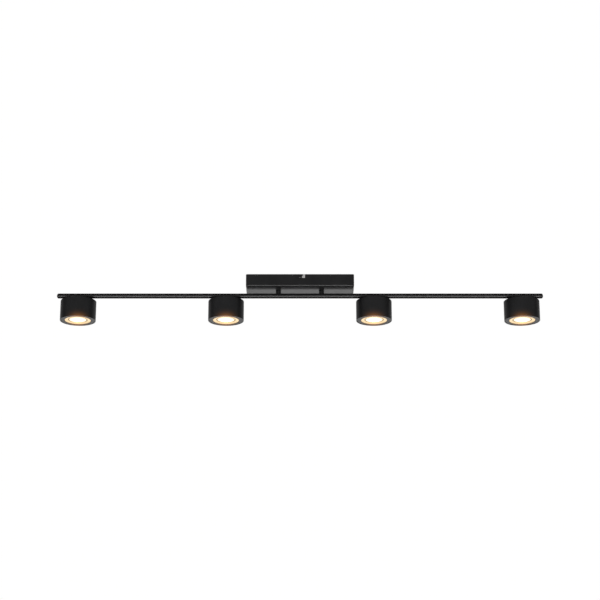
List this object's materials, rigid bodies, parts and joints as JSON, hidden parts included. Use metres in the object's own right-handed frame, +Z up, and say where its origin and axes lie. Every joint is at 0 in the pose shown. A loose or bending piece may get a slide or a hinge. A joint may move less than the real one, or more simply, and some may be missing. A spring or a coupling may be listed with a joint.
{
  "type": "track lighting fixture",
  "caption": "Ceiling light: a box canopy on two posts carries a long round rail with drum-shaped LED heads that swivel and tilt.",
  "frame": {"origin": "centre of the ceiling bracket's top face, on the ceiling", "axes": "+X along the rail to the right, -Y to the front, +Z up into the ceiling"},
  "size_m": [0.959, 0.0708, 0.0862],
  "materials": {
    "black_paint": "satin powder coat",
    "black_screw": "blackened steel, satin",
    "black_ring": "satin",
    "zinc_plate": "bright zinc plate",
    "steel_screw": "plain steel",
    "brass_screw": "satin",
    "heat_sink_aluminium": "as cast",
    "driver_case": "fine texture",
    "terminal_plastic": "smooth",
    "earth_sleeve": "green and yellow sleeve",
    "lead_sleeve_grey": "smooth sleeve",
    "lead_sleeve_black": "smooth sleeve",
    "board_white": "white solder mask",
    "lit_ring": "pale reflector, lit warm white",
    "lit_lens": "frosted diffuser, lit warm white"
  },
  "bodies": {
    "fixture": {"ceiling_bracket": "zinc_plate", "canopy_cover": "black_paint", "canopy_screw_front": "black_screw", "canopy_screw_rear": "black_screw", "rail_tube": "black_paint", "post_left": "black_paint", "post_right": "black_paint", "post_nut_left": "zinc_plate", "post_nut_right": "zinc_plate", "end_cap_left": "black_paint", "end_cap_right": "black_paint", "led_driver": "driver_case", "terminal_block": "terminal_plastic", "earth_screw": "brass_screw", "earth_lead": "earth_sleeve", "mains_lead": "lead_sleeve_grey", "lead_1": "lead_sleeve_black", "lead_2": "lead_sleeve_black", "lead_3": "lead_sleeve_black", "lead_4": "lead_sleeve_black", "neck_collar_1": "black_paint", "neck_collar_2": "black_paint", "neck_collar_3": "black_paint", "neck_collar_4": "black_paint"},
    "swivel_1": {"swivel_stem_1": "black_paint"},
    "head_1": {"tilt_yoke_1": "zinc_plate", "tilt_screw_1": "steel_screw", "head_housing_1": "black_paint", "front_ring_1": "black_ring", "reflector_1": "lit_ring", "lens_1": "lit_lens", "led_board_1": "board_white", "heat_sink_1": "heat_sink_aluminium"},
    "swivel_2": {"swivel_stem_2": "black_paint"},
    "head_2": {"tilt_yoke_2": "zinc_plate", "tilt_screw_2": "steel_screw", "head_housing_2": "black_paint", "front_ring_2": "black_ring", "reflector_2": "lit_ring", "lens_2": "lit_lens", "led_board_2": "board_white", "heat_sink_2": "heat_sink_aluminium"},
    "swivel_3": {"swivel_stem_3": "black_paint"},
    "head_3": {"tilt_yoke_3": "zinc_plate", "tilt_screw_3": "steel_screw", "head_housing_3": "black_paint", "front_ring_3": "black_ring", "reflector_3": "lit_ring", "lens_3": "lit_lens", "led_board_3": "board_white", "heat_sink_3": "heat_sink_aluminium"},
    "swivel_4": {"swivel_stem_4": "black_paint"},
    "head_4": {"tilt_yoke_4": "zinc_plate", "tilt_screw_4": "steel_screw", "head_housing_4": "black_paint", "front_ring_4": "black_ring", "reflector_4": "lit_ring", "lens_4": "lit_lens", "led_board_4": "board_white", "heat_sink_4": "heat_sink_aluminium"}
  },
  "joints": [
    {"name": "swivel_1_turn", "type": "hinge", "parent": "fixture", "child": "swivel_1", "pos_m": [-0.4365, 0, -0.0432], "axis": [0, 0, 1], "range_deg": [-175, 175]},
    {"name": "swivel_2_turn", "type": "hinge", "parent": "fixture", "child": "swivel_2", "pos_m": [-0.1455, 0, -0.0432], "axis": [0, 0, 1], "range_deg": [-175, 175]},
    {"name": "swivel_3_turn", "type": "hinge", "parent": "fixture", "child": "swivel_3", "pos_m": [0.1455, 0, -0.0432], "axis": [0, 0, 1], "range_deg": [-175, 175]},
    {"name": "swivel_4_turn", "type": "hinge", "parent": "fixture", "child": "swivel_4", "pos_m": [0.4365, 0, -0.0432], "axis": [0, 0, 1], "range_deg": [-175, 175]},
    {"name": "head_1_tilt", "type": "hinge", "parent": "swivel_1", "child": "head_1", "pos_m": [-0.4365, 0, -0.0519], "axis": [1, 0, 0], "range_deg": [-25, 25]},
    {"name": "head_2_tilt", "type": "hinge", "parent": "swivel_2", "child": "head_2", "pos_m": [-0.1455, 0, -0.0519], "axis": [1, 0, 0], "range_deg": [-25, 25]},
    {"name": "head_3_tilt", "type": "hinge", "parent": "swivel_3", "child": "head_3", "pos_m": [0.1455, 0, -0.0519], "axis": [1, 0, 0], "range_deg": [-25, 25]},
    {"name": "head_4_tilt", "type": "hinge", "parent": "swivel_4", "child": "head_4", "pos_m": [0.4365, 0, -0.0519], "axis": [1, 0, 0], "range_deg": [-25, 25]}
  ]
}
